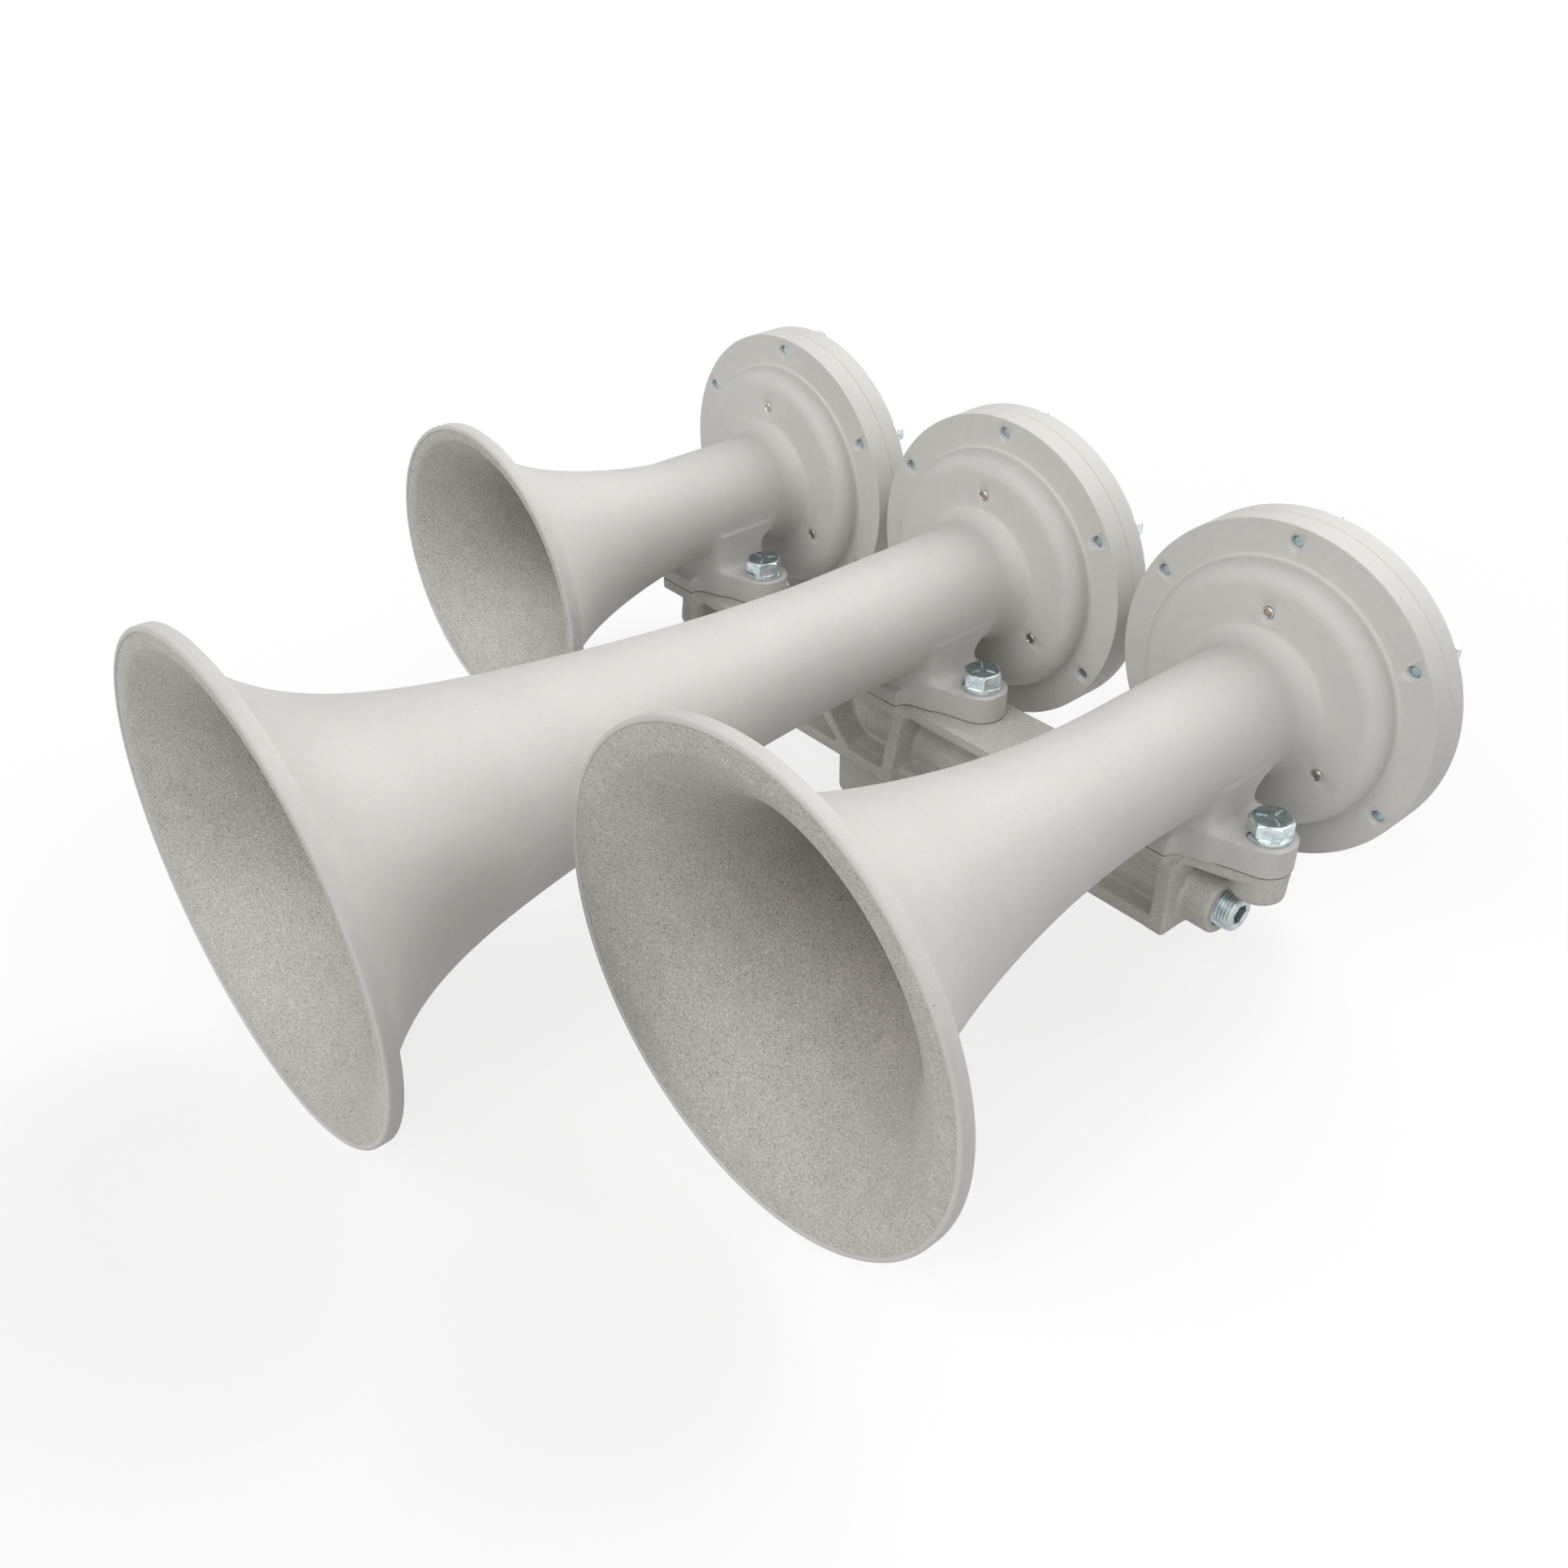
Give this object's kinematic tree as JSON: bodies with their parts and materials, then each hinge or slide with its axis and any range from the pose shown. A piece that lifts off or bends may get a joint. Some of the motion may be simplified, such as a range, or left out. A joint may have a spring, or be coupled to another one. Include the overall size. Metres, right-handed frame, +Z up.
{
  "type": "locomotive air horn",
  "caption": "Row of flared cast bells with round diaphragm chambers, bolted by two-eared feet to one air manifold that stands on a block-shaped base.",
  "frame": {"origin": "centre of the underside of the base block, where the air tube's centreline lies straight above", "axes": "+X along the row of horns from the short horn to the medium horn, -Y out of the bell mouths, +Z up from the base to the bells"},
  "size_m": [0.572, 0.49, 0.248],
  "materials": {
    "cast_alloy": "cast and blasted, matte, fine grain",
    "diaphragm_steel": "thin rolled stainless sheet",
    "seal_rubber": "black moulded rubber",
    "ring_brass": "turned, bare",
    "zinc_steel": "zinc plated, bluish, half bright",
    "plug_metal": "polished, slightly coppery",
    "gasket_fibre": "dark compressed sheet"
  },
  "bodies": {
    "root": {"short_bell": "cast_alloy", "short_cover": "cast_alloy", "short_diaphragm": "diaphragm_steel", "short_seal_ring": "seal_rubber", "short_clamp_ring": "ring_brass", "short_cover_screws": "zinc_steel", "short_cover_washers": "zinc_steel", "short_dome_plugs": "plug_metal", "short_foot_gasket": "gasket_fibre", "short_foot_bolts": "zinc_steel", "short_foot_washers": "zinc_steel", "long_bell": "cast_alloy", "long_cover": "cast_alloy", "long_diaphragm": "diaphragm_steel", "long_seal_ring": "seal_rubber", "long_clamp_ring": "ring_brass", "long_cover_screws": "zinc_steel", "long_cover_washers": "zinc_steel", "long_dome_plugs": "plug_metal", "long_foot_gasket": "gasket_fibre", "long_foot_bolts": "zinc_steel", "long_foot_washers": "zinc_steel", "medium_bell": "cast_alloy", "medium_cover": "cast_alloy", "medium_diaphragm": "diaphragm_steel", "medium_seal_ring": "seal_rubber", "medium_clamp_ring": "ring_brass", "medium_cover_screws": "zinc_steel", "medium_cover_washers": "zinc_steel", "medium_dome_plugs": "plug_metal", "medium_foot_gasket": "gasket_fibre", "medium_foot_bolts": "zinc_steel", "medium_foot_washers": "zinc_steel", "manifold": "cast_alloy", "end_plug": "zinc_steel"}
  },
  "joints": []
}
